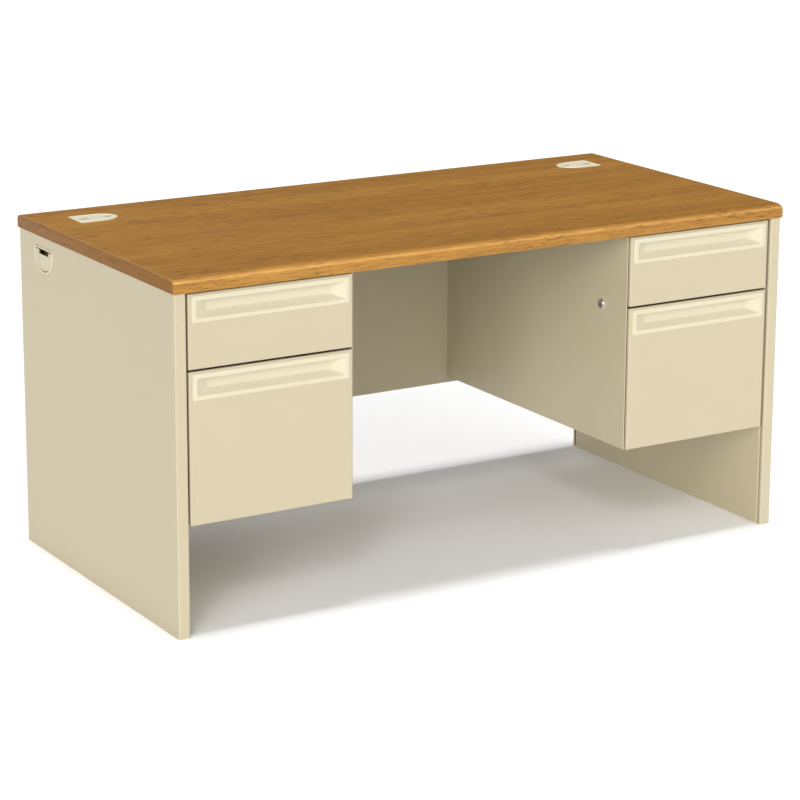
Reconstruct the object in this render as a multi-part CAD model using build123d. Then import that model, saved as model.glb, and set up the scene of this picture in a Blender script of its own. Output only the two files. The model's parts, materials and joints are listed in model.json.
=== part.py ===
from build123d import *
import os

# Double-pedestal teacher desk in bent sheet steel with a laminated board top.
# Millimetres.  Origin on the floor, under the middle of the desk.  +Z is up,
# -Y is the drawer side, +X is the right-hand side for someone sitting there.
# Left and right halves are mirror images, so most pieces are drawn for the
# right-hand side and mirrored.  "u" below is the distance from the middle plane.

# ---- overall --------------------------------------------------------------
WIDTH = 1524.0
DEPTH = 762.0
HEIGHT = 749.3
SHEET = 1.2                  # steel sheet of panels and cases
FIT = 0.05                   # radial clearance of a sliding or turning shaft

# ---- worktop ----------------------------------------------------------------
TOP_T = 30.0
NOSE_D = 24.0                # depth and height of the rounded front and rear nose
NOSE_H = 11.0
BAND_T = 1.5                 # edge bands on the two ends
TOP_Z = HEIGHT - TOP_T       # underside of the worktop

# ---- double-walled end panels ----------------------------------------------
OVERHANG = 3.0
PANEL_U = WIDTH / 2 - OVERHANG       # outer face
PANEL_Y = DEPTH / 2 - OVERHANG       # front and rear faces
PANEL_T = 26.5
LIP_U = PANEL_U - PANEL_T            # inner edge of the front and rear flanges
LIP_D = 7.0                          # how far the flange's lip turns back
BEND_R = 4.0
LINER_U = LIP_U - SHEET              # face of the liner towards the kneespace
LINER_Y = PANEL_Y - LIP_D - 6.0
LINER_FLANGE = 12.0
STIFF_Y = 120.0
STIFF_W = 40.0
STIFF_Z0, STIFF_Z1 = 40.0, TOP_Z - 30.0

# ---- feet -------------------------------------------------------------------
GLIDE_U = (LIP_U + PANEL_U) / 2
GLIDE_Y = 325.0
GLIDE_R = 10.0
STEM_R = 4.0
FOOT_T = 5.0
STEM_TOP = 46.0
BRACKET_Z = 12.0
BRACKET_T = 3.0
BRACKET_H = 24.0
BRACKET_W = 44.0
BRACKET_WALL = 2.0
FOOT_NUT_R = 8.0
FOOT_NUT_T = 7.0

# ---- modesty panel ----------------------------------------------------------
MODESTY_Z = 216.0            # lower edge of the rear skin
MODESTY_LINER_Z = 232.0      # lower edge of the kneespace skin
MODESTY_Y = 366.0            # kneespace face
MODESTY_FLANGE_Y = 346.0

# ---- pedestals --------------------------------------------------------------
KNEE_U = 346.0               # kneespace face of the pedestal
CASE_Z = 235.0
CASE_FRONT = -367.0          # the kneespace wall ends beside the drawer fronts, in a folded hem
HEM_W = 2.6
HEM_D = 6.0
HEM_R = 1.2
OUT_U = LINER_U - SHEET      # inner face of the wall beside the end panel
OUT_FRONT = -366.0
BACK_Y = 195.0
CASE_FLANGE = 18.0
IN_U = KNEE_U + SHEET        # inner face of the kneespace wall
REAR_FLANGE = 25.0

# ---- drawers ----------------------------------------------------------------
FRONT_U0 = 350.0
FRONT_U1 = 727.0
FRONT_Y = -374.0             # face of the drawer fronts
FRONT_T = 17.0
FRONT_R = 2.5
BOX_Z0, BOX_Z1 = 560.0, 715.5
FILE_Z0, FILE_Z1 = 235.0, 555.5
SLIDE_GAP = 12.9             # space for a slide on each side
BODY_T = 1.0
BODY_U0 = IN_U + SLIDE_GAP
BODY_U1 = OUT_U - SLIDE_GAP
BODY_Y0 = FRONT_Y + FRONT_T
BODY_Y1 = 170.0
BOX_BODY_Z0, BOX_BODY_Z1 = 575.0, 690.0
FILE_BODY_Z0, FILE_BODY_Z1 = 247.0, 500.0
BOX_SLIDE_Z = 646.0
FILE_SLIDE_Z = 330.0
SLIDE_Y0 = -352.0
SLIDE_LENGTH = 508.0
SLIDE_T = 1.2
RAIL_SPAN = 310.0            # hanging-folder rails, centre to centre
RAIL_T = 2.5

# ---- recessed pulls ---------------------------------------------------------
PULL_W, PULL_H = 361.0, 55.0
PULL_DROP = 5.0              # from the top of the front to the top of the frame
PULL_PROUD = 2.0
PULL_DEPTH = 16.0            # from the frame's face to the bottom of the recess
PULL_WALL = 1.6
OPEN_W, OPEN_H = 340.0, 36.0
OPEN_DROP = 10.0             # from the top of the frame to the recess
RAMP_END = 28.0
RAMP_FOOT = 12.0

# ---- grommets ---------------------------------------------------------------
TOPG_L, TOPG_W, TOPG_NOSE = 100.0, 70.0, 50.0
TOPG_U, TOPG_Y = 634.0, 250.0
TOPG_PROUD = 1.5
TOPG_HOLE = 3.5              # insets from the flange's outline, from the outside in
TOPG_COLLAR = 4.0
TOPG_BORE = 5.6
TOPG_POCKET = 6.0
TOPG_LEDGE = 8.5
TOPG_DEEP = 25.0             # from the worktop's face to the collar's foot
POCKET_DEEP = 3.0            # from the worktop's face to the ledge under the cap
LEDGE_T = 2.5
CAP_T = 4.0
CAP_GAP = 0.4
SLOT_L, SLOT_D = 25.0, 9.0
SLOT_U = 28.5                # each slot's distance from the grommet's middle
SIDEG_L, SIDEG_W, SIDEG_NOSE = 57.5, 94.0, 44.0
SIDEG_Y, SIDEG_TOP = 249.0, 696.0
SIDEG_PROUD = 2.0
SIDEG_HOLE = 2.0             # insets from the ring's outline, from the outside in
SIDEG_COLLAR = 2.2
SIDEG_POCKET = 3.6
SIDEG_LEDGE = 5.4
COVER_T = 3.8
COVER_GAP = 0.4
SIDEG_DEEP = 12.0            # how far the collar reaches behind the panel's face
COVER_DEEP = 3.0             # from the panel's face to the ledge under the cover
NOTCH_W = 51.0
NOTCH_Z = 680.0              # floor of the cable notch in the cover
WINDOW_MARGIN = 5.0          # the liner's window is wider than the notch by this each side
WINDOW_Z0, WINDOW_Z1 = 656.0, 694.0

# ---- locks ------------------------------------------------------------------
LOCK_Y, LOCK_Z = -275.0, 549.0
LOCK_FACE_R = 11.0
LOCK_BODY_R = 9.5
LOCK_PROUD = 5.0
LOCK_END = KNEE_U + 12.0
LOCK_NUT_R = 12.5
PLUG_R = 6.5
CAM_R = 10.0
CAM_T = 2.0
PIN_R = 1.75
PIN_E = 7.0                  # the cam pin's distance from the lock's axis
PIN_LOW = PIN_E * 0.70711    # the pin starts 45 degrees below the axis
EAR_U = LOCK_END + 3.6
BAR_T = 2.0
BAR_U = IN_U + 0.8
BAR_Y0, BAR_Y1 = LOCK_Y + 18.0, LOCK_Y + 32.0
BAR_Z0, BAR_Z1 = 470.0, 606.0
HOOK_TIP = 356.5
HOOK_H = 8.0
HOOK_ZS = (478.0, 590.0)
CATCH_TIP = 352.0
CATCH_H = 9.5
CATCH_L = 8.0
CATCH_BACK = 8.0             # the catch starts this far behind the bar's front edge
CATCH_LIFT = 1.5             # the catch passes this far above the unlocked hook
GUIDE_ZS = (508.0, 572.0)
GUIDE_H = 10.0

# ---- fasteners --------------------------------------------------------------
BOLT_R = 3.0
HEAD_R = 6.5
HEAD_T = 4.0
SCREW_R = 2.1
SCREW_HEAD_R = 4.0
SCREW_HEAD_T = 3.0
HOLE_GAP = 0.4               # clearance of a bolt in a sheet hole
CASE_BOLTS = [(y, z) for y in (-320.0, 170.0) for z in (430.0, 590.0)]
MODESTY_BOLTS = [(355.0, z) for z in (290.0, 640.0)]
REAR_SCREW_ZS = (290.0, 470.0, 650.0)
TOP_SCREWS = [(u, y) for u in (IN_U + 10.0, OUT_U - 10.0) for y in (-310.0, 150.0)]


# ---- small helpers ----------------------------------------------------------
def block(x0, x1, y0, y1, z0, z1):
    return Pos((x0 + x1) / 2, (y0 + y1) / 2, (z0 + z1) / 2) * Box(x1 - x0, y1 - y0, z1 - z0)


def rounded_block(x0, x1, y0, y1, z0, z1, r):
    """A block whose four upright edges are rounded."""
    plan = RectangleRounded(x1 - x0, y1 - y0, r)
    return Pos((x0 + x1) / 2, (y0 + y1) / 2, z0) * extrude(plan, z1 - z0)


def rod_x(x0, x1, y, z, r):
    return Pos((x0 + x1) / 2, y, z) * Rot(0, 90, 0) * Cylinder(r, x1 - x0)


def rod_y(y0, y1, x, z, r):
    return Pos(x, (y0 + y1) / 2, z) * Rot(90, 0, 0) * Cylinder(r, y1 - y0)


def rod_z(z0, z1, x, y, r):
    return Pos(x, y, (z0 + z1) / 2) * Cylinder(r, z1 - z0)


def hex_x(x0, x1, y, z, r):
    return Pos(x0, y, z) * Rot(0, 90, 0) * extrude(RegularPolygon(r, 6), x1 - x0)


def left(shape):
    return mirror(shape, about=Plane.YZ)


def group(solids):
    return Compound(children=list(solids))


def d_plan(length, width, nose, inset=0.0):
    """A D-shaped face: flat end at +X, elliptical nose at -X, centred on 0,0."""
    half = length / 2 - inset
    side = width / 2 - inset
    start = -length / 2 + nose
    flat = Polyline((start, side), (half, side), (half, -side), (start, -side))
    round_end = EllipticalCenterArc((start, 0), nose - inset, side, 90, arc_size=180)
    return make_face([flat, round_end])


# ---- worktop ----------------------------------------------------------------
def top_profile(x0, x1):
    """The worktop's section between two planes across its length."""
    y = DEPTH / 2
    z0, z1 = TOP_Z, HEIGHT
    front = EllipticalCenterArc((-y + NOSE_D, z1 - NOSE_H), NOSE_D, NOSE_H, 90, arc_size=90)
    rear = EllipticalCenterArc((y - NOSE_D, z1 - NOSE_H), NOSE_D, NOSE_H, 0, arc_size=90)
    flat = Line((-y + NOSE_D, z1), (y - NOSE_D, z1))
    under = Polyline((-y, z1 - NOSE_H), (-y, z0), (y, z0), (y, z1 - NOSE_H))
    section = make_face([front, rear, flat, under])
    return Pos(x0, 0, 0) * (Plane.YZ * extrude(section, x1 - x0))


def grommet_plug(z0, z1, inset):
    """The right-hand top grommet's outline, inset all round, between two heights."""
    plan = d_plan(TOPG_L, TOPG_W, TOPG_NOSE, inset)
    return Pos(TOPG_U, TOPG_Y, z0) * extrude(plan, z1 - z0)


def worktop():
    end = WIDTH / 2 - BAND_T
    board = top_profile(-end, end)
    hole = grommet_plug(TOP_Z - 1, HEIGHT + 1, TOPG_HOLE)
    board -= hole
    board -= left(hole)
    for u, y in TOP_SCREWS:
        pilot = rod_z(TOP_Z - 1, TOP_Z + 21, u, y, SCREW_R + FIT)
        board -= pilot
        board -= left(pilot)
    return board


def edge_band():
    return top_profile(WIDTH / 2 - BAND_T, WIDTH / 2)


def top_grommet():
    ring = grommet_plug(HEIGHT, HEIGHT + TOPG_PROUD, 0.0)
    ring = fillet(ring.edges().group_by(Axis.Z)[-1], 1.0)
    foot = HEIGHT - TOPG_DEEP
    ledge = HEIGHT - POCKET_DEEP
    ring += grommet_plug(foot, HEIGHT, TOPG_COLLAR)
    ring -= grommet_plug(ledge, HEIGHT + TOPG_PROUD + 1, TOPG_POCKET)
    ring -= grommet_plug(ledge - LEDGE_T - 0.1, HEIGHT, TOPG_LEDGE)
    ring -= grommet_plug(foot - 1, ledge - LEDGE_T, TOPG_BORE)
    return ring


def half_moon(depth):
    """A cable slot: straight at the back, bowed at the front."""
    bow = EllipticalCenterArc((0, SLOT_D / 2), SLOT_L / 2, SLOT_D, 180, arc_size=180)
    chord = Line((SLOT_L / 2, SLOT_D / 2), (-SLOT_L / 2, SLOT_D / 2))
    return extrude(make_face([bow, chord]), depth)


def top_grommet_cap():
    base = HEIGHT - POCKET_DEEP
    cap = grommet_plug(base, base + CAP_T, TOPG_POCKET + CAP_GAP)
    cap = fillet(cap.edges().group_by(Axis.Z)[-1], 0.6)
    for side in (-1, 1):
        cap -= Pos(TOPG_U + side * SLOT_U, TOPG_Y, base - 1) * half_moon(CAP_T + 2)
    return cap


# ---- end panels -------------------------------------------------------------
def side_grommet_plug(u0, u1, inset, top_inset=None):
    """The right-hand side grommet's outline, between two distances from the middle."""
    plan = d_plan(SIDEG_L, SIDEG_W, SIDEG_NOSE, inset)
    if top_inset is not None:
        cut = SIDEG_L / 2 - top_inset
        plan -= Pos(cut + 20, 0) * Rectangle(40, SIDEG_W + 10)
    solid = extrude(plan, u1 - u0)
    stand = Plane((u0, SIDEG_Y, SIDEG_TOP - SIDEG_L / 2), x_dir=(0, 0, 1), z_dir=(1, 0, 0))
    return stand * solid


def end_panel():
    """Outer skin with front and rear flanges whose rounded edges turn back as lips."""
    shell = rounded_block(LIP_U, PANEL_U, -PANEL_Y, PANEL_Y, 0, TOP_Z, BEND_R)
    inner_y = PANEL_Y - SHEET
    skin_u = PANEL_U - SHEET
    shell -= rounded_block(LIP_U + SHEET, skin_u, -inner_y, inner_y, -1, TOP_Z + 1, BEND_R - SHEET)
    lip_y = PANEL_Y - LIP_D
    shell -= block(LIP_U - 1, LIP_U + SHEET + 0.1, -lip_y, lip_y, -1, TOP_Z + 1)
    shell += block(LINER_U, skin_u + 0.1, -LINER_Y, LINER_Y, TOP_Z - SHEET, TOP_Z)
    shell -= side_grommet_plug(PANEL_U - 5, PANEL_U + 5, SIDEG_HOLE)
    return shell


def end_liner():
    """Inner skin with its edges bent outward, set back behind the lips."""
    far = LINER_U + LINER_FLANGE
    top = TOP_Z - SHEET
    skin = rounded_block(LINER_U, far + 5, -LINER_Y, LINER_Y, 0, top, 3.0)
    skin -= rounded_block(LIP_U, far + 4, -LINER_Y + SHEET, LINER_Y - SHEET, -1, top + 1, 1.8)
    skin -= block(far, far + 6, -LINER_Y - 1, LINER_Y + 1, -1, top + 1)
    half = NOTCH_W / 2 + WINDOW_MARGIN
    skin -= block(LINER_U - 1, LIP_U + 1, SIDEG_Y - half, SIDEG_Y + half, WINDOW_Z0, WINDOW_Z1)
    for y, z in CASE_BOLTS + MODESTY_BOLTS:
        skin -= rod_x(LINER_U - 1, LIP_U + 1, y, z, BOLT_R + HOLE_GAP)
    return skin


def end_panel_stiffener(y):
    """Upright channel between the two skins."""
    skin_u = PANEL_U - SHEET
    half = STIFF_W / 2
    channel = block(LIP_U, skin_u, y - half, y + half, STIFF_Z0, STIFF_Z1)
    hollow = block(LIP_U + SHEET, skin_u - SHEET, y - half + SHEET, y + half + 1, STIFF_Z0 - 1, STIFF_Z1 + 1)
    return channel - hollow


def side_grommet():
    ring = side_grommet_plug(PANEL_U, PANEL_U + SIDEG_PROUD, 0.0)
    ring = fillet(ring.edges().group_by(Axis.X)[-1], 1.2)
    ring += side_grommet_plug(PANEL_U - SIDEG_DEEP, PANEL_U, SIDEG_COLLAR)
    ring -= side_grommet_plug(PANEL_U - COVER_DEEP, PANEL_U + 5, SIDEG_POCKET)
    ring -= side_grommet_plug(PANEL_U - SIDEG_DEEP - 1, PANEL_U + 5, SIDEG_LEDGE)
    return ring


def side_grommet_cover():
    base = PANEL_U - COVER_DEEP
    cover = side_grommet_plug(base, base + COVER_T, SIDEG_POCKET + COVER_GAP, SIDEG_LEDGE)
    cover = fillet(cover.edges().group_by(Axis.X)[-1], 0.6)
    half = NOTCH_W / 2
    cover -= block(base - 1, base + 9, SIDEG_Y - half, SIDEG_Y + half, NOTCH_Z, SIDEG_TOP)
    return cover


def foot_bracket(y):
    """Channel welded between the skins, with a nut for the glide's stem."""
    skin_u = PANEL_U - SHEET
    top = BRACKET_Z + BRACKET_H
    half = BRACKET_W / 2
    channel = block(LIP_U, skin_u, y - half, y + half, BRACKET_Z, top)
    floor = BRACKET_Z + BRACKET_T
    inner, outer = LIP_U + BRACKET_WALL, skin_u - BRACKET_WALL
    channel -= block(inner, outer, y - half - 1, y + half + 1, floor, top + 1)
    channel += rod_z(floor, floor + FOOT_NUT_T, GLIDE_U, y, FOOT_NUT_R)
    channel -= rod_z(BRACKET_Z - 1, top, GLIDE_U, y, STEM_R + FIT)
    return channel


def glide(y):
    foot = fillet(rod_z(0, FOOT_T, GLIDE_U, y, GLIDE_R).edges().filter_by(GeomType.CIRCLE), 1.0)
    return foot + rod_z(FOOT_T - 0.5, STEM_TOP, GLIDE_U, y, STEM_R)


# ---- modesty panel ----------------------------------------------------------
def modesty_panel():
    """Rear skin with side, top and bottom flanges."""
    rear = PANEL_Y
    skin = rear - SHEET
    half = LINER_U
    pan = block(-half, half, skin, rear, MODESTY_Z, TOP_Z)
    for side in (-1, 1):
        x0, x1 = sorted((side * half, side * (half - SHEET)))
        pan += block(x0, x1, MODESTY_FLANGE_Y, skin, MODESTY_Z, TOP_Z)
    pan += block(-half, half, MODESTY_Y + SHEET, skin, TOP_Z - SHEET, TOP_Z)
    for y, z in MODESTY_BOLTS:
        hole = rod_x(half - 5, half + 5, y, z, BOLT_R + HOLE_GAP)
        pan -= hole
        pan -= left(hole)
    return pan


def modesty_liner():
    """Kneespace skin, its upper and lower edges bent back to the rear skin."""
    half = OUT_U
    top = TOP_Z - SHEET
    skin_y = PANEL_Y - SHEET
    pan = block(-half, half, MODESTY_Y, skin_y, MODESTY_LINER_Z, top)
    pan = fillet(pan.edges().filter_by(Axis.X).group_by(Axis.Y)[0].sort_by(Axis.Z)[0], 2.0)
    pan -= block(-half - 1, half + 1, MODESTY_Y + SHEET, skin_y + 1, MODESTY_LINER_Z + SHEET, top - SHEET)
    for z in REAR_SCREW_ZS:
        hole = rod_y(MODESTY_Y - 1, MODESTY_Y + 3, IN_U + 12, z, SCREW_R + FIT)
        pan -= hole
        pan -= left(hole)
    return pan


# ---- pedestals --------------------------------------------------------------
def lock_bar_guide(z):
    """Small bridge that keeps the lock bar beside the wall."""
    bridge = block(IN_U, BAR_U + BAR_T + 1.5, BAR_Y0 - 3, BAR_Y1 + 3, z, z + GUIDE_H)
    bridge -= block(BAR_U - 0.4, BAR_U + BAR_T + 0.4, BAR_Y0 - 0.4, BAR_Y1 + 0.4, z - 1, z + GUIDE_H + 1)
    return bridge


def pedestal_case():
    """Folded case: kneespace wall, short outer wall, back, bottom and top flanges."""
    back = BACK_Y + SHEET
    case = block(KNEE_U, IN_U, CASE_FRONT + 2, MODESTY_Y, CASE_Z, TOP_Z)
    hem = block(KNEE_U, KNEE_U + HEM_W, CASE_FRONT, CASE_FRONT + HEM_D, CASE_Z, TOP_Z)
    case += fillet(hem.edges().filter_by(Axis.Z).group_by(Axis.Y)[0], HEM_R)
    case += block(OUT_U, LINER_U, OUT_FRONT, back, CASE_Z, TOP_Z)
    case += block(KNEE_U, LINER_U, BACK_Y, back, CASE_Z, TOP_Z)
    case += block(KNEE_U, LINER_U, BODY_Y0 + 2, back, CASE_Z, CASE_Z + SHEET)
    case += block(KNEE_U, KNEE_U + REAR_FLANGE, MODESTY_Y - SHEET, MODESTY_Y, CASE_Z, TOP_Z - 15)
    flange_z = TOP_Z - SHEET
    case += block(KNEE_U, IN_U + CASE_FLANGE, BODY_Y0 + 2, back, flange_z, TOP_Z)
    case += block(OUT_U - CASE_FLANGE, LINER_U, BODY_Y0 + 2, back, flange_z, TOP_Z)
    case += block(KNEE_U, LINER_U, BODY_Y0 + 2, BODY_Y0 + 32, flange_z, TOP_Z)
    for z in GUIDE_ZS:
        case += lock_bar_guide(z)
    case -= rod_x(KNEE_U - 1, IN_U + 1, LOCK_Y, LOCK_Z, LOCK_BODY_R + FIT)
    for y, z in CASE_BOLTS:
        case -= rod_x(OUT_U - 1, LINER_U + 1, y, z, BOLT_R + HOLE_GAP)
    for z in REAR_SCREW_ZS:
        case -= rod_y(MODESTY_Y - 5, MODESTY_Y + 1, IN_U + 12, z, SCREW_R + HOLE_GAP)
    for u, y in TOP_SCREWS:
        case -= rod_z(flange_z - 1, TOP_Z + 1, u, y, SCREW_R + HOLE_GAP)
    return case


# ---- fasteners --------------------------------------------------------------
def frame_bolt(y, z):
    """Bolt from inside the desk through a sheet and the liner."""
    shank = rod_x(OUT_U - 0.5, LIP_U + 9, y, z, BOLT_R)
    return shank + hex_x(OUT_U - HEAD_T, OUT_U, y, z, HEAD_R)


def frame_nut(y, z):
    return hex_x(LIP_U, LIP_U + 5, y, z, HEAD_R) - rod_x(LIP_U - 1, LIP_U + 6, y, z, BOLT_R + FIT)


def pedestal_screw(z):
    """Screw that fastens the pedestal's rear flange to the modesty panel."""
    face = MODESTY_Y - SHEET
    shank = rod_y(face - 0.5, MODESTY_Y + 8, IN_U + 12, z, SCREW_R)
    return shank + rod_y(face - SCREW_HEAD_T, face, IN_U + 12, z, SCREW_HEAD_R)


def top_fixing_screw(u, y):
    """Screw up through the pedestal's top flange into the worktop."""
    face = TOP_Z - SHEET
    shank = rod_z(face - 0.5, TOP_Z + 20, u, y, SCREW_R)
    return shank + rod_z(face - SCREW_HEAD_T, face, u, y, SCREW_HEAD_R)


# ---- locks ------------------------------------------------------------------
def lock_housing():
    face = rod_x(KNEE_U - LOCK_PROUD, KNEE_U, LOCK_Y, LOCK_Z, LOCK_FACE_R)
    face = fillet(face.edges().group_by(Axis.X)[0], 1.5)
    body = rod_x(KNEE_U, LOCK_END, LOCK_Y, LOCK_Z, LOCK_BODY_R)
    return face + body - rod_x(KNEE_U - 9, LOCK_END + 1, LOCK_Y, LOCK_Z, PLUG_R + FIT)


def lock_nut():
    ring = rod_x(IN_U, IN_U + 3, LOCK_Y, LOCK_Z, LOCK_NUT_R)
    return ring - rod_x(IN_U - 1, IN_U + 4, LOCK_Y, LOCK_Z, LOCK_BODY_R + FIT)


def lock_plug():
    """Key barrel with its cam and the cam's pin."""
    tip = KNEE_U - LOCK_PROUD - 0.5
    cam = LOCK_END + 0.4
    plug = rod_x(tip, cam + 0.1, LOCK_Y, LOCK_Z, PLUG_R)
    plug += rod_x(cam, cam + CAM_T, LOCK_Y, LOCK_Z, CAM_R)
    plug += rod_x(cam, EAR_U + BAR_T + 2, LOCK_Y + PIN_LOW, LOCK_Z - PIN_LOW, PIN_R)
    keyway = block(tip - 1, tip + 9, LOCK_Y - 0.9, LOCK_Y + 0.9, LOCK_Z - 4.5, LOCK_Z + 4.5)
    return plug - keyway


def lock_bar():
    """Upright bar with two hooks and an ear whose slot the cam pin lifts."""
    bar = block(BAR_U, BAR_U + BAR_T, BAR_Y0, BAR_Y1, BAR_Z0, BAR_Z1)
    for z in HOOK_ZS:
        bar += block(BAR_U + BAR_T - 0.1, HOOK_TIP, BAR_Y0, BAR_Y0 + 6, z, z + HOOK_H)
    low = LOCK_Z - 13
    ear_far = EAR_U + BAR_T
    bar += block(BAR_U, ear_far, BAR_Y1 - BAR_T, BAR_Y1, low, low + 20)
    bar += block(EAR_U, ear_far, LOCK_Y - 17, BAR_Y1, low, low + 20)
    reach = PIN_R + 0.5
    slot_z = LOCK_Z - PIN_LOW
    bar -= block(EAR_U - 1, ear_far + 1, LOCK_Y + PIN_LOW - reach, LOCK_Y + PIN_E + reach,
                 slot_z - reach, slot_z + reach)
    return bar


# ---- drawers ----------------------------------------------------------------
def pull_frame_top(z1):
    return z1 - PULL_DROP


def drawer_front(z0, z1):
    """Steel pan, open at the back, with a cut-out for the pull."""
    front = block(FRONT_U0, FRONT_U1, FRONT_Y, BODY_Y0, z0, z1)
    front = fillet(front.faces().sort_by(Axis.Y)[0].edges(), FRONT_R)
    wall = SHEET
    front -= block(FRONT_U0 + wall, FRONT_U1 - wall, FRONT_Y + wall, BODY_Y0 + 1, z0 + wall, z1 - wall)
    mid_u = (FRONT_U0 + FRONT_U1) / 2
    mid_z = pull_frame_top(z1) - OPEN_DROP - OPEN_H / 2
    half_w = OPEN_W / 2 + PULL_WALL + 1
    half_h = OPEN_H / 2 + PULL_WALL + 1
    front -= block(mid_u - half_w, mid_u + half_w, FRONT_Y - 1, FRONT_Y + 3,
                   mid_z - half_h, mid_z + half_h)
    return front


def recess(mid_u, top, wall=0.0):
    """The finger recess, or with a wall its outer form: sloped ends and a sloped foot."""
    face_y = FRONT_Y - PULL_PROUD
    mid_z = top - OPEN_H / 2
    mouth = Plane((mid_u, face_y - 0.5 + wall, mid_z), x_dir=(1, 0, 0), z_dir=(0, -1, 0))
    floor_y = face_y + PULL_DEPTH + wall
    floor = Plane((mid_u, floor_y, mid_z + RAMP_FOOT / 2), x_dir=(1, 0, 0), z_dir=(0, -1, 0))
    grow = 2 * wall
    outer = mouth * RectangleRounded(OPEN_W + grow, OPEN_H + grow, 3.0)
    inner = floor * RectangleRounded(OPEN_W - 2 * RAMP_END + grow, OPEN_H - RAMP_FOOT + grow, 3.0)
    return loft([outer, inner], ruled=True)


def drawer_pull(z1):
    """Moulded recessed pull: a slightly proud frame round a finger recess."""
    mid_u = (FRONT_U0 + FRONT_U1) / 2
    top = pull_frame_top(z1)
    stand = Plane((mid_u, FRONT_Y, top - PULL_H / 2), x_dir=(1, 0, 0), z_dir=(0, -1, 0))
    frame = stand * extrude(RectangleRounded(PULL_W, PULL_H, 4.0), PULL_PROUD)
    frame = fillet(frame.faces().sort_by(Axis.Y)[0].edges(), 1.2)
    frame += recess(mid_u, top - OPEN_DROP, PULL_WALL)
    return frame - recess(mid_u, top - OPEN_DROP)


def drawer_body(z0, z1, catch_z):
    """Open-topped steel tray with a welded catch for the lock bar on its kneespace side."""
    t = BODY_T
    tray = block(BODY_U0, BODY_U1, BODY_Y0, BODY_Y1, z0, z1)
    tray -= block(BODY_U0 + t, BODY_U1 - t, BODY_Y0 + t, BODY_Y1 - t, z0 + t, z1 + 1)
    catch_y = BAR_Y0 + CATCH_BACK
    catch = block(CATCH_TIP, BODY_U0, catch_y, catch_y + CATCH_L, catch_z, catch_z + CATCH_H)
    return group([tray, catch])


def channel(near, far, half, z, open_near):
    """A slide member's C section between two distances from the middle plane."""
    y0, y1 = SLIDE_Y0, SLIDE_Y0 + SLIDE_LENGTH
    member = block(near, far, y0, y1, z - half, z + half)
    lip = half - SLIDE_T
    if open_near:
        return member - block(near - 1, far - SLIDE_T, y0 - 1, y1 + 1, z - lip, z + lip)
    return member - block(near + SLIDE_T, far + 1, y0 - 1, y1 + 1, z - lip, z + lip)


def slide_pair(start, stop, half, z, open_to_wall):
    """The same member on both sides of a drawer; start and stop are from the case wall."""
    knee = channel(IN_U + start, IN_U + stop, half, z, open_to_wall)
    outer = channel(OUT_U - stop, OUT_U - start, half, z, not open_to_wall)
    return group([knee, outer])


def hanging_rails():
    """Two rails for hanging folders, resting on the tray's front and back walls."""
    rails = []
    mid = (BODY_U0 + BODY_U1) / 2
    top = FILE_BODY_Z1 + 3
    for side in (-1, 1):
        x = mid + side * RAIL_SPAN / 2
        x0, x1 = x - RAIL_T / 2, x + RAIL_T / 2
        rail = block(x0, x1, BODY_Y0 + BODY_T, BODY_Y1 - BODY_T, FILE_BODY_Z1 - 12, top)
        rail += block(x0, x1, BODY_Y0, BODY_Y1, FILE_BODY_Z1, top)
        rails.append(rail)
    return group(rails)


# ---- every node -------------------------------------------------------------
def box_drawer():
    catch = HOOK_ZS[1] + HOOK_H + CATCH_LIFT
    z = BOX_SLIDE_Z
    return {
        "front": drawer_front(BOX_Z0, BOX_Z1),
        "pull": drawer_pull(BOX_Z1),
        "body": drawer_body(BOX_BODY_Z0, BOX_BODY_Z1, catch),
        "slide_outer": slide_pair(0.0, 9.5, 22.8, z, False),
        "slide_inner": slide_pair(3.4, SLIDE_GAP, 18.4, z, True),
    }


def file_drawer():
    catch = HOOK_ZS[0] + HOOK_H + CATCH_LIFT
    z = FILE_SLIDE_Z
    return {
        "front": drawer_front(FILE_Z0, FILE_Z1),
        "pull": drawer_pull(FILE_Z1),
        "body": drawer_body(FILE_BODY_Z0, FILE_BODY_Z1, catch),
        "slide_outer": slide_pair(0.0, 9.5, 22.8, z, False),
        "slide_middle": slide_pair(3.2, 10.4, 18.4, z, False),
        "slide_inner": slide_pair(5.4, SLIDE_GAP, 13.6, z, True),
        "hanging_rails": hanging_rails(),
    }


def both_sides(solids):
    """Right-hand solids with their mirror images, as one group."""
    return group(solids + [left(s) for s in solids])


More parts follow.
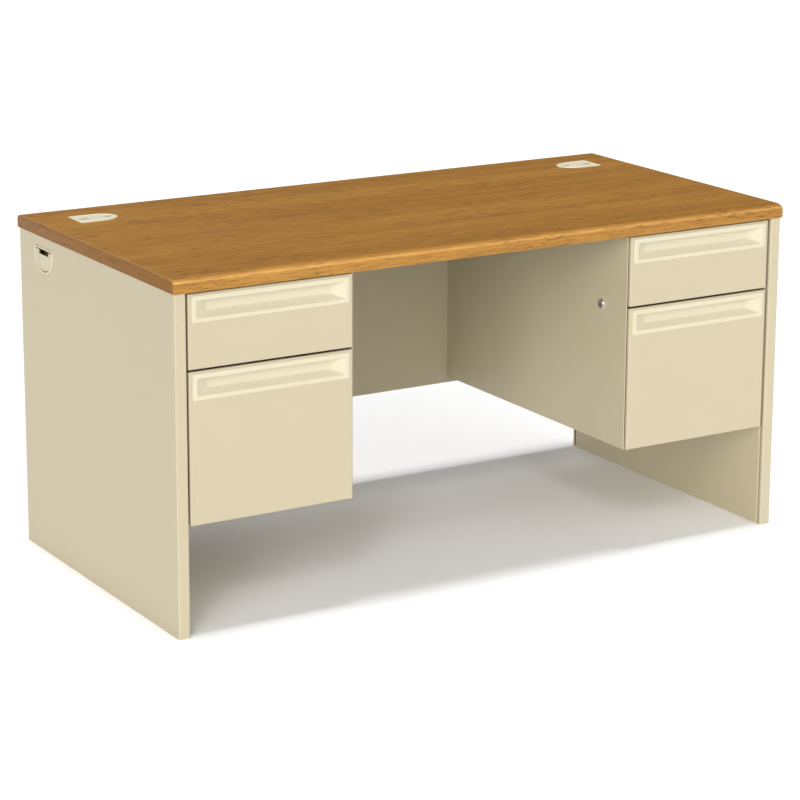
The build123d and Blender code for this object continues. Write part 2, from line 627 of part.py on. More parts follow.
def build():
    nodes = {"worktop": worktop()}
    for name, shape in {
        "edge_band": edge_band(),
        "top_grommet": top_grommet(),
        "top_grommet_cap": top_grommet_cap(),
        "side_grommet": side_grommet(),
        "side_grommet_cover": side_grommet_cover(),
        "glide_front": glide(-GLIDE_Y),
        "glide_rear": glide(GLIDE_Y),
    }.items():
        nodes[name + "_right"] = shape
        nodes[name + "_left"] = left(shape)
    halves = {
        "end_panel": end_panel(),
        "end_liner": end_liner(),
        "pedestal_case": pedestal_case(),
        "lock_housing": lock_housing(),
        "lock_plug": lock_plug(),
        "lock_bar": lock_bar(),
    }
    halves.update({"box_" + k: v for k, v in box_drawer().items()})
    halves.update({"file_" + k: v for k, v in file_drawer().items()})
    for name, shape in halves.items():
        nodes["right_" + name] = shape
        nodes["left_" + name] = left(shape)
    bolts = CASE_BOLTS + MODESTY_BOLTS
    nodes["modesty_panel"] = modesty_panel()
    nodes["modesty_liner"] = modesty_liner()
    nodes["end_panel_stiffeners"] = both_sides([end_panel_stiffener(y) for y in (-STIFF_Y, STIFF_Y)])
    nodes["foot_brackets"] = both_sides([foot_bracket(y) for y in (-GLIDE_Y, GLIDE_Y)])
    nodes["lock_nuts"] = both_sides([lock_nut()])
    nodes["frame_bolts"] = both_sides([frame_bolt(y, z) for y, z in bolts])
    nodes["frame_nuts"] = both_sides([frame_nut(y, z) for y, z in bolts])
    nodes["pedestal_screws"] = both_sides([pedestal_screw(z) for z in REAR_SCREW_ZS])
    nodes["top_fixing_screws"] = both_sides([top_fixing_screw(u, y) for u, y in TOP_SCREWS])
    return nodes


os.makedirs("parts", exist_ok=True)
for node, shape in build().items():
    export_step(shape, f"parts/{node}.step")
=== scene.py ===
import json
import math

import bmesh
import bpy
from mathutils import Matrix, Vector


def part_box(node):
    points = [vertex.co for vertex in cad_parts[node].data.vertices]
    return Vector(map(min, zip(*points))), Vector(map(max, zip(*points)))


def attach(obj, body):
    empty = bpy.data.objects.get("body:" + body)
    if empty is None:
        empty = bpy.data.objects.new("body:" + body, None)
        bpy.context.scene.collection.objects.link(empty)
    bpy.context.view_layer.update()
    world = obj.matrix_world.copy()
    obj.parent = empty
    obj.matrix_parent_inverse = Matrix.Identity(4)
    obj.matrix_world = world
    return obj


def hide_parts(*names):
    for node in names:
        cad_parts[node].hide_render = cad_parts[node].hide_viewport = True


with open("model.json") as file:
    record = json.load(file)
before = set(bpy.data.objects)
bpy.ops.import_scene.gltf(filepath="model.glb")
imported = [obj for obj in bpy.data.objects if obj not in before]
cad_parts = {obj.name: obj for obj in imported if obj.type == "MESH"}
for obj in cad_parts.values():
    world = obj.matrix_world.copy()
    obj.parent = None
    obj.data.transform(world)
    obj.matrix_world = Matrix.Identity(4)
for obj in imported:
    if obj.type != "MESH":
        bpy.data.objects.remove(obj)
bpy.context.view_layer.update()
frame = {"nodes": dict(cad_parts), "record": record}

MM = 0.001
SIDES = {"left": -1, "right": 1}
BODY_OF = {node: body for body, nodes in frame["record"]["behaviour"]["bodies"].items() for node in nodes}
SLOT_OF = {part["node"]: part["material_slot"] for part in frame["record"]["subparts"]}


def box_mm(node):
    """A CAD node's lowest and highest corners, in millimetres."""
    return tuple(tuple(c / MM for c in corner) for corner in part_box(node))


# ---- camera and light --------------------------------------------------------
CAMERA_AT = (-3.080, -5.061, 1.945)
CAMERA_YAW = 31.24          # degrees to the right of straight ahead
CAMERA_PITCH = 13.75        # degrees down
CAMERA_ROLL = 0.26
CAMERA_LENS = 122.6
CAMERA_SHIFT = -0.1

SKY_REAR, SKY_FRONT = 0.10, 1.75   # the studio is brightest in front of the desk
SKY_FALL = 3.6               # how fast it dims from front to rear
OVERHEAD = dict(direction=(0.0, 0.0, 1.0), strength=0.58, angle=9)
KEY = dict(direction=(-0.71, -0.63, 0.20), strength=0.58, angle=32)
HIGH = dict(direction=(-0.48, -0.62, 0.62), strength=0.14, angle=12)
REAR = dict(direction=(0.1, 0.7, 0.7), strength=0.16, angle=30)


def make_camera():
    yaw, pitch, roll = (math.radians(v) for v in (CAMERA_YAW, CAMERA_PITCH, CAMERA_ROLL))
    ahead = Vector((math.sin(yaw) * math.cos(pitch), math.cos(yaw) * math.cos(pitch), -math.sin(pitch)))
    right = Vector((math.cos(yaw), -math.sin(yaw), 0.0))
    up = right.cross(ahead)
    x_axis = right * math.cos(roll) + up * math.sin(roll)
    y_axis = up * math.cos(roll) - right * math.sin(roll)
    turn = Matrix((x_axis, y_axis, -ahead)).transposed()
    data = bpy.data.cameras.new("camera")
    data.sensor_width = 36.0
    data.lens = CAMERA_LENS
    data.shift_y = CAMERA_SHIFT
    camera = bpy.data.objects.new("camera", data)
    camera.matrix_world = Matrix.Translation(CAMERA_AT) @ turn.to_4x4()
    bpy.context.scene.collection.objects.link(camera)
    bpy.context.scene.camera = camera


def make_sun(name, direction, strength, angle):
    """A broad sun, coming from direction. At strength 1 it lights a facing white surface to white."""
    data = bpy.data.lights.new(name, "SUN")
    data.energy = strength * math.pi
    data.angle = math.radians(angle)
    lamp = bpy.data.objects.new(name, data)
    lamp.rotation_mode = "QUATERNION"
    lamp.rotation_quaternion = Vector(direction).to_track_quat("Z", "Y")
    bpy.context.scene.collection.objects.link(lamp)


def make_world():
    """A plain white studio that dims smoothly from the drawer side to the rear."""
    world = bpy.data.worlds.new("studio")
    world.use_nodes = True
    tree = world.node_tree
    back = tree.nodes["Background"]
    back.inputs["Color"].default_value = (1.0, 1.0, 1.0, 1.0)
    direction = tree.nodes.new("ShaderNodeSeparateXYZ")
    tree.links.new(tree.nodes.new("ShaderNodeTexCoord").outputs["Generated"], direction.inputs[0])
    forward = tree.nodes.new("ShaderNodeMapRange")
    forward.inputs["From Min"].default_value, forward.inputs["From Max"].default_value = 1.0, -1.0
    tree.links.new(direction.outputs["Y"], forward.inputs["Value"])
    fall = tree.nodes.new("ShaderNodeMath")
    fall.operation = "POWER"
    fall.inputs[1].default_value = SKY_FALL
    tree.links.new(forward.outputs[0], fall.inputs[0])
    level = tree.nodes.new("ShaderNodeMapRange")
    level.inputs["To Min"].default_value, level.inputs["To Max"].default_value = SKY_REAR, SKY_FRONT
    tree.links.new(fall.outputs[0], level.inputs["Value"])
    tree.links.new(level.outputs[0], back.inputs["Strength"])
    bpy.context.scene.world = world
    bpy.context.scene.view_settings.view_transform = "Standard"
    bpy.context.scene.view_settings.look = "None"


# ---- materials ---------------------------------------------------------------
class Graph:
    """Short names for building a node material."""

    def __init__(self, name):
        self.material = bpy.data.materials.new(name)
        self.material.use_nodes = True
        self.tree = self.material.node_tree
        self.tree.nodes.clear()
        self.out = self.add("ShaderNodeOutputMaterial")
        self.shader = self.add("ShaderNodeBsdfPrincipled")
        self.link(self.shader.outputs[0], self.out.inputs["Surface"])
        self.coords = self.add("ShaderNodeTexCoord").outputs["Object"]

    def add(self, kind, **values):
        node = self.tree.nodes.new(kind)
        for key, value in values.items():
            setattr(node, key, value)
        return node

    def link(self, source, target):
        self.tree.links.new(source, target)

    def stretched(self, scale, offset=(0, 0, 0)):
        node = self.add("ShaderNodeMapping")
        node.inputs["Scale"].default_value = scale
        node.inputs["Location"].default_value = offset
        self.link(self.coords, node.inputs["Vector"])
        return node.outputs[0]

    def noise(self, scale, detail=2.0, vector=None, roughness=0.5, distortion=0.0):
        node = self.add("ShaderNodeTexNoise")
        values = dict(Scale=scale, Detail=detail, Roughness=roughness, Distortion=distortion)
        for key, value in values.items():
            node.inputs[key].default_value = value
        self.link(vector or self.coords, node.inputs["Vector"])
        return node.outputs["Fac"]

    def ramp(self, source, stops):
        node = self.add("ShaderNodeValToRGB")
        band = node.color_ramp.elements
        while len(band) < len(stops):
            band.new(0.5)
        for element, (place, colour) in zip(band, stops):
            element.position = place
            element.color = (*colour, 1.0)
        self.link(source, node.inputs[0])
        return node.outputs[0]

    def spread(self, source, low, high, lo=0.0, hi=1.0):
        node = self.add("ShaderNodeMapRange")
        for key, value in (("From Min", lo), ("From Max", hi), ("To Min", low), ("To Max", high)):
            node.inputs[key].default_value = value
        self.link(source, node.inputs["Value"])
        return node.outputs[0]

    def math(self, operation, a, b=None):
        node = self.add("ShaderNodeMath", operation=operation)
        for socket, value in zip(node.inputs, (a, b)):
            if isinstance(value, (int, float)):
                socket.default_value = value
            elif value is not None:
                self.link(value, socket)
        return node.outputs[0]

    def mix(self, factor, a, b):
        node = self.add("ShaderNodeMix", data_type="RGBA")
        for socket, value in ((node.inputs[0], factor), (node.inputs[6], a), (node.inputs[7], b)):
            if isinstance(value, (int, float)):
                socket.default_value = value
            elif isinstance(value, tuple):
                socket.default_value = (*value, 1.0)
            else:
                self.link(value, socket)
        return node.outputs[2]

    def tint(self, source, factors):
        node = self.add("ShaderNodeMix", data_type="RGBA", blend_type="MULTIPLY")
        node.clamp_result = False
        node.inputs[0].default_value = 1.0
        self.link(source, node.inputs[6])
        node.inputs[7].default_value = (*factors, 1.0)
        return node.outputs[2]

    def bump(self, height, strength, distance):
        node = self.add("ShaderNodeBump")
        node.inputs["Strength"].default_value = strength
        node.inputs["Distance"].default_value = distance
        self.link(height, node.inputs["Height"])
        self.link(node.outputs[0], self.shader.inputs["Normal"])

    def set(self, **values):
        for key, value in values.items():
            socket = self.shader.inputs[key.replace("_", " ")]
            if hasattr(value, "is_output"):
                self.link(value, socket)
            else:
                socket.default_value = value
        return self.material


def shade(colour, factor):
    return tuple(c * factor for c in colour)


def painted_steel(name, colour, rough=0.46):
    """Baked paint: a fine orange peel, faint cloudiness and fine specks."""
    g = Graph(name)
    patch = g.noise(5.0, 3.0)
    speck = g.noise(800.0, 2.0)
    tone = g.mix(patch, shade(colour, 0.975), shade(colour, 1.02))
    tone = g.mix(g.spread(speck, 0.0, 1.0, 0.38, 0.62), g.mix(0.5, tone, shade(colour, 0.94)), tone)
    peel = g.noise(330.0, 3.0)
    g.bump(peel, 0.25, 0.25 * MM)
    return g.set(Base_Color=tone, Roughness=g.spread(patch, rough - 0.04, rough + 0.05))


BACKER = (0.19, 0.15, 0.11)  # the sheet on the underside of the worktop


def oak(name, dark, mid, light, fleck, along=0, seed=0.0, rough=0.42, edge=None):
    """Oak laminate with its grain along one axis: broad bands, fine fibres and short pores.
    edge is a painted highlight: how much lighter the colour is made on the worktop's rounded noses, and a
    third as much on its upright faces, standing in for the light they catch."""
    g = Graph(name)

    def grain(length, across):
        scale = [across] * 3
        scale[along] = length
        return g.stretched(tuple(scale), (seed, seed * 2, seed * 3))

    wander = g.noise(1.0, 3.0, grain(1.1, 7.0), 0.55)
    bands = g.noise(1.0, 4.0, grain(1.0, 38.0), 0.6, 0.5)
    fibre = g.noise(1.0, 3.0, grain(7.0, 330.0), 0.6)
    streaks = g.noise(1.0, 5.0, grain(16.0, 300.0), 0.72)
    pores = g.noise(1.0, 3.0, grain(34.0, 400.0), 0.6)
    figure = g.noise(1.0, 2.0, grain(3.0, 11.0), 0.5, 0.6)
    value = g.math("ADD", g.math("MULTIPLY", wander, 0.45), g.math("MULTIPLY", bands, 0.55))
    tone = g.ramp(value, [(0.38, dark), (0.5, mid), (0.62, light)])
    tone = g.mix(g.spread(fibre, 0.0, 1.0, 0.3, 0.7), g.mix(0.4, tone, dark), tone)
    tone = g.mix(g.spread(streaks, 0.0, 0.85, 0.49, 0.64), tone, g.mix(0.45, dark, fleck))
    pore = g.ramp(pores, [(0.37, (1, 1, 1)), (0.44, (0, 0, 0))])
    tone = g.mix(g.math("MULTIPLY", pore, g.spread(figure, 0.15, 0.9, 0.44, 0.58)), tone, fleck)
    if edge:
        # painted highlight: lighten the colour where the surface faces up and forwards round the noses
        upward = g.add("ShaderNodeSeparateXYZ")
        g.link(g.add("ShaderNodeNewGeometry").outputs["Normal"], upward.inputs[0])
        painted_nose_highlight = g.math("MULTIPLY", g.spread(upward.outputs["Z"], 0.3, 1.0, 0.0, 0.6),
                       g.spread(upward.outputs["Z"], 1.0, 0.0, 0.75, 0.99))
        tone = g.mix(painted_nose_highlight, tone, g.tint(tone, edge))
        tone = g.mix(g.spread(upward.outputs["Z"], 1.0, 0.0, -0.9, -0.7), tone, BACKER)
    g.bump(g.math("SUBTRACT", fibre, pore), 0.12, 0.12 * MM)
    g.set(Specular_IOR_Level=0.15)
    return g.set(Base_Color=tone, Roughness=g.spread(fibre, rough - 0.03, rough + 0.06))


def moulded(name, colour, rough=0.4):
    """Moulded plastic with a fine spark-eroded grain."""
    g = Graph(name)
    patch = g.noise(14.0, 2.0)
    grain = g.noise(1500.0, 2.0)
    g.bump(grain, 0.12, 0.12 * MM)
    tone = g.mix(patch, shade(colour, 0.98), shade(colour, 1.02))
    return g.set(Base_Color=tone, Roughness=g.spread(grain, rough - 0.05, rough + 0.06))


def metal(name, colour, rough, brushed=0.0):
    """Plated steel: faint streaks from rolling and a little cloudiness."""
    g = Graph(name)
    streak = g.noise(1.0, 3.0, g.stretched((900.0, 60.0, 900.0)))
    patch = g.noise(30.0, 3.0)
    g.bump(streak, 0.08 * brushed + 0.01, 0.1 * MM)
    tone = g.mix(patch, shade(colour, 0.93), shade(colour, 1.04))
    return g.set(Base_Color=tone, Metallic=1.0, Roughness=g.spread(streak, rough - 0.04, rough + 0.08))


def floor_material():
    g = Graph("floor")
    speck = g.noise(60.0, 2.0)
    return g.set(Base_Color=g.mix(speck, (0.93, 0.93, 0.93), (0.96, 0.96, 0.96)), Roughness=0.95,
                 Specular_IOR_Level=0.1)


PUTTY = (0.475, 0.415, 0.280)
CREAM = (0.575, 0.525, 0.375)
IVORY = (0.66, 0.62, 0.47)
paint = painted_steel("putty paint", PUTTY)
# the worktop's edge factors paint a highlight on its noses
oak_top = oak("oak laminate", (0.285, 0.127, 0.019), (0.350, 0.162, 0.025), (0.410, 0.200, 0.034),
              (0.10, 0.040, 0.008), edge=(1.55, 1.80, 3.1))
oak_edge = oak("oak edge band", (0.185, 0.076, 0.008), (0.225, 0.095, 0.010), (0.265, 0.116, 0.014),
               (0.11, 0.04, 0.012), 1, 3.1)
# painted highlight: a lighter oak on the edge bands' rounded arris, standing in for the light line it
# catches
oak_arris_highlight = oak("oak edge arris", (0.40, 0.205, 0.075), (0.45, 0.235, 0.09), (0.50, 0.27, 0.11),
                (0.3, 0.14, 0.05), 1, 5.3)
cream = moulded("cream plastic", CREAM)
ivory = moulded("ivory plastic", IVORY)
plate = moulded("putty plastic", shade(PUTTY, 1.06))
chrome = metal("chrome", (0.82, 0.82, 0.83), 0.10)
zinc = metal("zinc plate", (0.60, 0.61, 0.63), 0.32, 1.0)
BY_SLOT = {
    "wood_top": oak_top,
    "wood_edge": oak_edge,
    "putty_paint": paint,
    "cream_plastic": cream,
    "grommet_plastic": ivory,
    "chrome": chrome,
    "zinc_steel": zinc,
}


def dress_frame():
    """Every CAD node takes the material of its slot in the record."""
    for node, slot in SLOT_OF.items():
        mesh = frame["nodes"][node].data
        mesh.materials.clear()
        mesh.materials.append(BY_SLOT[slot])


# ---- mesh helpers --------------------------------------------------------------
def rounded_loop(half_w, half_h, radius, steps=6):
    """Points round a rounded rectangle, from the right-hand side anticlockwise."""
    loop = []
    for turn, (sx, sy) in enumerate(((1, 1), (-1, 1), (-1, -1), (1, -1))):
        for k in range(steps + 1):
            a = math.radians(90 * (turn + k / steps))
            x = sx * (half_w - radius) + radius * math.cos(a)
            y = sy * (half_h - radius) + radius * math.sin(a)
            loop.append((x, y))
    return loop


def d_loop(length, width, nose, inset=0.0, corner=1.2, steps=28, short=0.0):
    """Points round a D: flat end at +X, elliptical nose at -X, which may be cut short."""
    half, side = length / 2 - inset, width / 2 - inset
    start = nose - length / 2
    r = max(corner - inset, 0.15)
    loop = []
    for k in range(4):
        a = math.radians(30 * k)
        loop.append((half - r + r * math.cos(a), side - r + r * math.sin(a)))
    for k in range(steps + 1):
        a = math.radians(90 + 180 * k / steps)
        loop.append((start + (nose - inset - short) * math.cos(a), side * math.sin(a)))
    for k in range(4):
        a = math.radians(270 + 30 * k)
        loop.append((half - r + r * math.cos(a), -side + r + r * math.sin(a)))
    return loop


def round_over(radius, steps=5):
    """(inset, drop) pairs of a quarter round, from the side up to the face."""
    turns = [math.radians(90 * k / steps) for k in range(steps + 1)]
    return [(radius * (1 - math.cos(a)), radius * (1 - math.sin(a))) for a in turns]


def skin(name, chains, material, closed=False, first=False, last=False, sharp=32):
    """A mesh over chains of loops that match point for point, closed into a ring or capped."""
    points, faces = [], []
    for loops in chains:
        count, base = len(loops[0]), len(points)
        points += [p for loop in loops for p in loop]
        for row in range(len(loops) if closed else len(loops) - 1):
            here, there = base + row * count, base + (row + 1) % len(loops) * count
            for k in range(count):
                after = (k + 1) % count
                faces.append((here + k, here + after, there + after, there + k))
        if first:
            faces.append(tuple(range(base, base + count)))
        if last:
            end = base + (len(loops) - 1) * count
            faces.append(tuple(range(end, end + count)))
    mesh = bpy.data.meshes.new(name)
    mesh.from_pydata([Vector(p) * MM for p in points], [], faces)
    mesh.materials.append(material)
    return finish_mesh(name, mesh, sharp)


def finish_mesh(name, mesh, sharp=32):
    shape = bmesh.new()
    shape.from_mesh(mesh)
    bmesh.ops.recalc_face_normals(shape, faces=shape.faces)
    shape.to_mesh(mesh)
    shape.free()
    mesh.shade_smooth()
    mesh.set_sharp_from_angle(angle=math.radians(sharp))
    piece = bpy.data.objects.new(name, mesh)
    bpy.context.scene.collection.objects.link(piece)
    return piece


def stand_for(piece, node):
    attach(piece, BODY_OF[node])
    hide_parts(node)


# ---- drawer fronts and pulls ----------------------------------------------------
FRONT_R = 2.5
FRONT_CORNER = 1.2
STEP_IN, STEP_Y = 4.0, 7.0   # behind its edge the front's pan steps in, to clear its neighbours
SHEET = 1.2
PULL_H = 55.0
PULL_CORNER = 4.0
PULL_ROUND, PULL_LIP = 0.8, 0.8  # radii of the frame's outer and inner edges
PULL_WALL = 1.6
OPEN_W, OPEN_H = 340.0, 36.0
OPEN_DROP = 10.0             # from the top of the pull's frame to its recess
RAMP_END = 28.0
RAMP_FOOT = 12.0


def upright(mid_x, mid_z, y, loop):
    """A flat loop stood up across the desk's front at a depth y."""
    return [(mid_x + a, y, mid_z + b) for a, b in loop]


def make_front(side, drawer):
    node, pull = f"{side}_{drawer}_front", f"{side}_{drawer}_pull"
    low, high = box_mm(node)
    pull_low, pull_high = box_mm(pull)
    mid_x, mid_z = (low[0] + high[0]) / 2, (low[2] + high[2]) / 2
    half_w, half_h = (high[0] - low[0]) / 2, (high[2] - low[2]) / 2
    face, back = low[1], high[1]
    slot_z = pull_high[2] - OPEN_DROP - OPEN_H / 2
    cut = rounded_loop(OPEN_W / 2 + PULL_WALL + 1, OPEN_H / 2 + PULL_WALL + 1, 3.0)

    def pan(inset, y):
        return upright(mid_x, mid_z, y, rounded_loop(half_w - inset, half_h - inset, FRONT_CORNER))

    rim = [pan(STEP_IN, back), pan(STEP_IN, face + STEP_Y), pan(0.0, face + STEP_Y)]
    for inset, drop in round_over(FRONT_R):
        radius = max(FRONT_CORNER - inset, 0.2)
        rim.append(upright(mid_x, mid_z, face + drop, rounded_loop(half_w - inset, half_h - inset, radius)))
    hole = [upright(mid_x, slot_z, face + depth, cut) for depth in (0.0, SHEET)]
    inside = [pan(SHEET, face + SHEET), pan(SHEET, face + STEP_Y - SHEET)]
    inside += [pan(STEP_IN + SHEET, face + STEP_Y - SHEET), pan(STEP_IN + SHEET, back)]
    piece = skin(f"{side}_{drawer}_drawer_front", [rim + hole + inside], paint, closed=True)
    stand_for(piece, node)


def make_pull(side, drawer):
    """Moulded pull: a flat frame with crisp edges, sloped ends, a back plate and a ramp under it."""
    node = f"{side}_{drawer}_pull"
    low, high = box_mm(node)
    mid_x, mid_z = (low[0] + high[0]) / 2, high[2] - PULL_H / 2
    half_w, half_h = (high[0] - low[0]) / 2, PULL_H / 2
    face = low[1]
    deep = high[1] - PULL_WALL - face
    seat = box_mm(f"{side}_{drawer}_front")[0][1] - face
    slot_z = high[2] - OPEN_DROP - OPEN_H / 2

    def frame_loop(inset, depth):
        loop = rounded_loop(half_w - inset, half_h - inset, PULL_CORNER - inset)
        return upright(mid_x, mid_z, face + depth, loop)

    def slot_loop(grow, depth, radius, share=0.0):
        """The recess's outline. share is how far it has drawn in at its ends and risen at its foot."""
        foot = RAMP_FOOT * share
        loop = rounded_loop(OPEN_W / 2 - RAMP_END * share + grow, (OPEN_H - foot) / 2 + grow, radius)
        return upright(mid_x, slot_z + foot / 2, face + depth, loop)

    outer = [frame_loop(0.0, seat), frame_loop(0.0, 1.2)]
    outer += [frame_loop(i, d + 0.4) for i, d in round_over(PULL_ROUND)[1:]]
    lip = [slot_loop(i, d, PULL_LIP + 1.6) for i, d in reversed(round_over(PULL_LIP))]
    slope = [slot_loop(0.0, PULL_LIP + (deep - PULL_LIP) * share, 2.4, share) for share in (0.05, 0.97)]
    plate = [slot_loop(-0.4, deep - 0.1, 4.4, 1.0), slot_loop(-1.2, deep, 3.8, 1.0)]
    back = [slot_loop(PULL_WALL, deep + PULL_WALL, 4.6, 1.0), slot_loop(PULL_WALL, seat, 4.0)]
    piece = skin(f"{side}_{drawer}_drawer_pull", [back + outer + lip + slope + plate], cream,
                 first=True, last=True, sharp=24)
    stand_for(piece, node)


# ---- worktop edge bands ---------------------------------------------------------
NOSE_D, NOSE_H = 24.0, 11.0
ARRIS = 0.9


def slab_loop(x, low, high, inset, steps=12):
    """The worktop's section: elliptical noses along its front and rear top edges."""
    y, z0, z1 = high[1] - inset, low[2] + inset, high[2] - inset
    loop = []
    for k in range(steps + 1):
        a = math.radians(90 * k / steps)
        nose_y = high[1] - NOSE_D + (NOSE_D - inset) * math.cos(a)
        nose_z = high[2] - NOSE_H + (NOSE_H - inset) * math.sin(a)
        loop.append((nose_y, nose_z))
    loop += [(-p, q) for p, q in reversed(loop)]
    loop += [(-y, z0), (y, z0)]
    return [(x, p, min(q, z1)) for p, q in loop]


def make_edge_band(side):
    node = f"edge_band_{side}"
    low, high = box_mm(node)
    sign = SIDES[side]
    inner, outer = sorted((low[0], high[0]), key=abs)
    loops = [slab_loop(inner, low, high, 0.0)]
    loops += [slab_loop(outer - sign * drop, low, high, inset) for inset, drop in round_over(ARRIS)]
    piece = skin(f"{side}_edge_band", [loops], oak_edge, first=True, last=True)
    piece.data.materials.append(oak_arris_highlight)
    # the painted highlight goes on the arris faces round the band's outer face, except those facing down
    for face in piece.data.polygons:
        if face.loop_total == 4 and abs(face.center.x) / MM > abs(outer) - ARRIS and face.normal.z > -0.5:
            face.material_index = 1
    stand_for(piece, node)


# ---- grommets -------------------------------------------------------------------
TOP_GROMMET = (100.0, 70.0, 50.0)      # length, width and nose
SIDE_GROMMET = (57.5, 94.0, 44.0)
SLOT_L, SLOT_D, SLOT_U = 25.0, 9.0, 28.5
LID_T, LID_INSET, LID_CORNER = 1.4, 6.4, 7.0
LID_EDGE = 0.4               # radius round the lid's edges and slots
SKIRT_IN = 0.3               # the skirt stands in from the lid's edge
COVER_IN, COVER_SHORT, COVER_TOP = 4.0, 6.2, 1.4   # the side cover inside its ring: sides, nose, top
COVER_ARC = 32
NOTCH_HALF, NOTCH_FLOOR = 25.5, 680.0


def lay_top(side, loop, z, middle):
    return [(middle[0] + SIDES[side] * a, middle[1] + b, z) for a, b in loop]


def make_top_grommet(side):
    node = f"top_grommet_{side}"
    low, high = box_mm(node)
    middle = ((low[0] + high[0]) / 2, (low[1] + high[1]) / 2)
    table = box_mm("worktop")[1][2]
    proud, foot = high[2] - table, low[2] - table
    section = [(0.0, 0.0)] + [(i, proud - d) for i, d in round_over(1.0)]
    section += [(5.4, proud), (5.8, proud - 0.15), (6.0, proud - 0.5), (6.0, -3.0), (8.5, -3.0), (8.5, -5.5)]
    section += [(5.6, -5.5), (5.6, foot), (4.0, foot), (4.0, 0.0)]
    loops = [lay_top(side, d_loop(*TOP_GROMMET, inset), table + rise, middle) for inset, rise in section]
    stand_for(skin(f"{side}_top_grommet_ring", [loops], ivory, closed=True), node)


def crescent(mid, steps=14):
    """A cable slot: straight at the back, bowed at the front."""
    points = []
    for k in range(steps + 1):
        a = math.radians(180 + 180 * k / steps)
        points.append((mid + SLOT_L / 2 * math.cos(a), SLOT_D / 2 + SLOT_D * math.sin(a)))
    return points


def make_cap(side):
    """The grommet's lift-out cap: a thin plate with two crescent cable slots, on a skirt."""
    node = f"top_grommet_cap_{side}"
    low, high = box_mm(node)
    middle = Vector(((low[0] + high[0]) / 2, (low[1] + high[1]) / 2, high[2] - LID_T / 2))
    curve = bpy.data.curves.new(node, "CURVE")
    curve.dimensions, curve.fill_mode = "2D", "BOTH"
    curve.extrude = LID_T / 2 - LID_EDGE
    curve.bevel_depth, curve.bevel_resolution, curve.offset = LID_EDGE, 3, -LID_EDGE
    for loop in (d_loop(*TOP_GROMMET, LID_INSET, LID_CORNER), crescent(-SLOT_U), crescent(SLOT_U)):
        spline = curve.splines.new("POLY")
        spline.points.add(len(loop) - 1)
        for point, (a, b) in zip(spline.points, loop):
            point.co = (a * SIDES[side], b, 0.0, 1.0)
        spline.use_cyclic_u = True
    drawn = bpy.data.objects.new(node + "_outline", curve)
    mesh = bpy.data.meshes.new_from_object(drawn)
    bpy.data.objects.remove(drawn)
    mesh.transform(Matrix.Scale(MM, 4) @ Matrix.Translation(middle))
    weld = bmesh.new()
    weld.from_mesh(mesh)
    bmesh.ops.remove_doubles(weld, verts=weld.verts, dist=0.01 * MM)
    weld.to_mesh(mesh)
    weld.free()
    mesh.materials.clear()
    mesh.materials.append(ivory)
    stand_for(finish_mesh(f"{side}_top_grommet_lid", mesh), node)
    under = high[2] - LID_T
    loops = []
    for inset, z in ((SKIRT_IN, low[2]), (SKIRT_IN, under), (LID_T, under), (LID_T, low[2])):
        loops.append(lay_top(side, d_loop(*TOP_GROMMET, LID_INSET + inset, LID_CORNER), z, middle))
    skirt = skin(f"{side}_top_grommet_lid_skirt", [loops], ivory, closed=True)
    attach(skirt, BODY_OF[node])


def stand_side(side, loop, out, middle):
    """A D loop stood against an end panel, its flat end up, a distance out from the desk's middle."""
    return [(SIDES[side] * out, middle[0] - SIDES[side] * b, middle[1] + a) for a, b in loop]


def make_side_grommet(side):
    node = f"side_grommet_{side}"
    low, high = box_mm(node)
    panel = max(abs(c[0]) for c in box_mm(f"{side}_end_panel"))
    deep, proud = (f(abs(low[0]), abs(high[0])) - panel for f in (min, max))
    middle = ((low[1] + high[1]) / 2, (low[2] + high[2]) / 2)
    section = [(0.0, 0.0)] + [(i, proud - d) for i, d in round_over(1.2)]
    section += [(2.9, proud), (3.4, proud - 0.2), (3.6, proud - 0.7), (3.6, deep), (2.2, deep), (2.2, 0.0)]
    loops = [stand_side(side, d_loop(*SIDE_GROMMET, inset), panel + rise, middle) for inset, rise in section]
    stand_for(skin(f"{side}_side_grommet_ring", [loops], cream, closed=True), node)


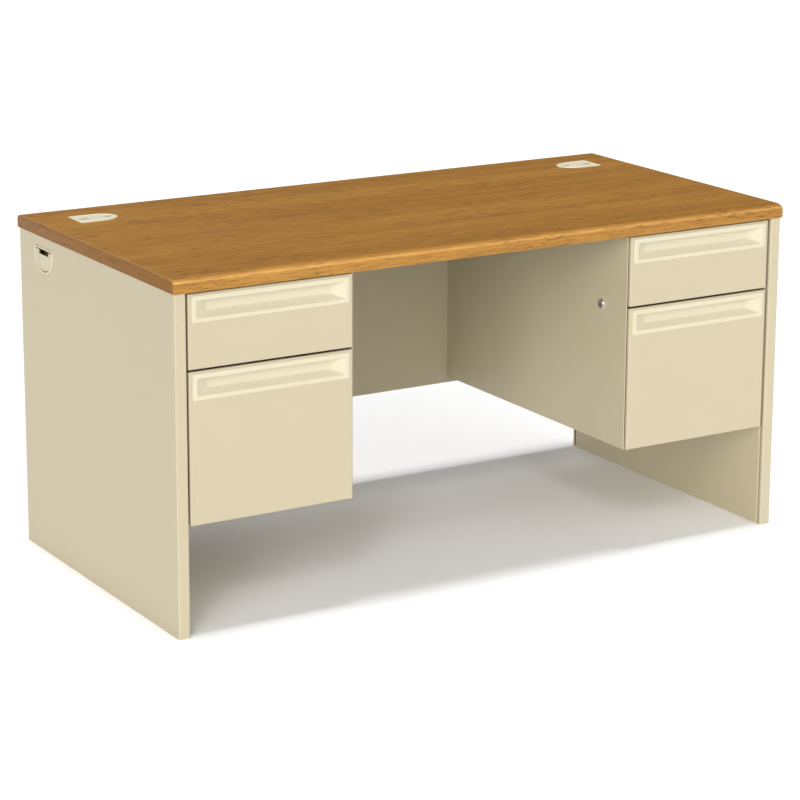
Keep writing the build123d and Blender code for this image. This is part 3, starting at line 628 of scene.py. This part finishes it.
def make_side_cover(side):
    """The grommet's cover: its nose falls short of the ring, and a notch lets cables through."""
    node = f"side_grommet_cover_{side}"
    low, high = box_mm(node)
    ring_low, ring_high = box_mm(f"side_grommet_{side}")
    middle = ((ring_low[1] + ring_high[1]) / 2, (ring_low[2] + ring_high[2]) / 2)
    outer = max(abs(low[0]), abs(high[0]))
    length, width, nose = SIDE_GROMMET
    top = high[2] - middle[1] - COVER_TOP
    loops = []
    section = [(0.0, outer - 2.0)] + [(i, outer - d) for i, d in round_over(0.6, 3)]
    for inset, out in section:
        arc = []
        side_y = width / 2 - COVER_IN - inset
        for k in range(COVER_ARC + 1):
            a = math.radians(90 + 180 * k / COVER_ARC)
            reach = (nose - COVER_SHORT - inset) * math.cos(a)
            arc.append((nose - length / 2 + reach, side_y * math.sin(a)))
        rim, floor = top - inset, NOTCH_FLOOR - middle[1] - inset
        wall = NOTCH_HALF + inset
        notch = [(rim, -wall), (floor, -wall), (floor, wall), (rim, wall)]
        plan = arc + [(rim, -side_y)] + notch + [(rim, side_y)]
        loops.append(stand_side(side, plan, out, middle))
    piece = skin(f"{side}_side_grommet_plate", [loops], plate, first=True, last=True)
    stand_for(piece, node)


# ---- locks ------------------------------------------------------------------------
LOCK_STEPS = 48
BEZEL_R, BEZEL_HOLE, SHANK_R = 11.0, 6.7, 9.5
BEZEL_PROUD = 5.0            # from the bezel's tip back to the pedestal's wall


def ring_x(x, radius, centre):
    turns = [2 * math.pi * k / LOCK_STEPS for k in range(LOCK_STEPS)]
    return [(x, centre[0] + radius * math.cos(a), centre[1] + radius * math.sin(a)) for a in turns]


def make_lock(side):
    """Chrome bezel with a rounded rim and a dark groove round the key plug."""
    sign = SIDES[side]
    housing = f"{side}_lock_housing"
    low, high = box_mm(housing)
    centre = ((low[1] + high[1]) / 2, (low[2] + high[2]) / 2)
    tip, end = sorted((abs(low[0]), abs(high[0])))
    wall = tip + BEZEL_PROUD
    section = [(wall, SHANK_R), (wall, BEZEL_R)]
    section += [(tip + d, BEZEL_R - i) for i, d in round_over(1.8)]
    section += [(tip + 0.1, 8.7), (tip + 0.5, 8.1), (tip + 1.4, 7.7), (tip + 3.2, 7.5)]
    section += [(tip + 3.4, BEZEL_HOLE), (end, BEZEL_HOLE), (end, SHANK_R)]
    loops = [ring_x(sign * x, r, centre) for x, r in section]
    stand_for(skin(f"{side}_lock_bezel", [loops], chrome, closed=True), housing)


dress_frame()
make_camera()
make_world()
make_sun("overhead", **OVERHEAD)
make_sun("key", **KEY)
make_sun("high", **HIGH)
make_sun("rear", **REAR)
bpy.ops.mesh.primitive_plane_add(size=120.0)
floor = bpy.context.object
floor.name = "floor"
floor.data.materials.append(floor_material())

for side in SIDES:
    for drawer in ("box", "file"):
        make_front(side, drawer)
        make_pull(side, drawer)
    make_edge_band(side)
    make_top_grommet(side)
    make_cap(side)
    make_side_grommet(side)
    make_side_cover(side)
    make_lock(side)
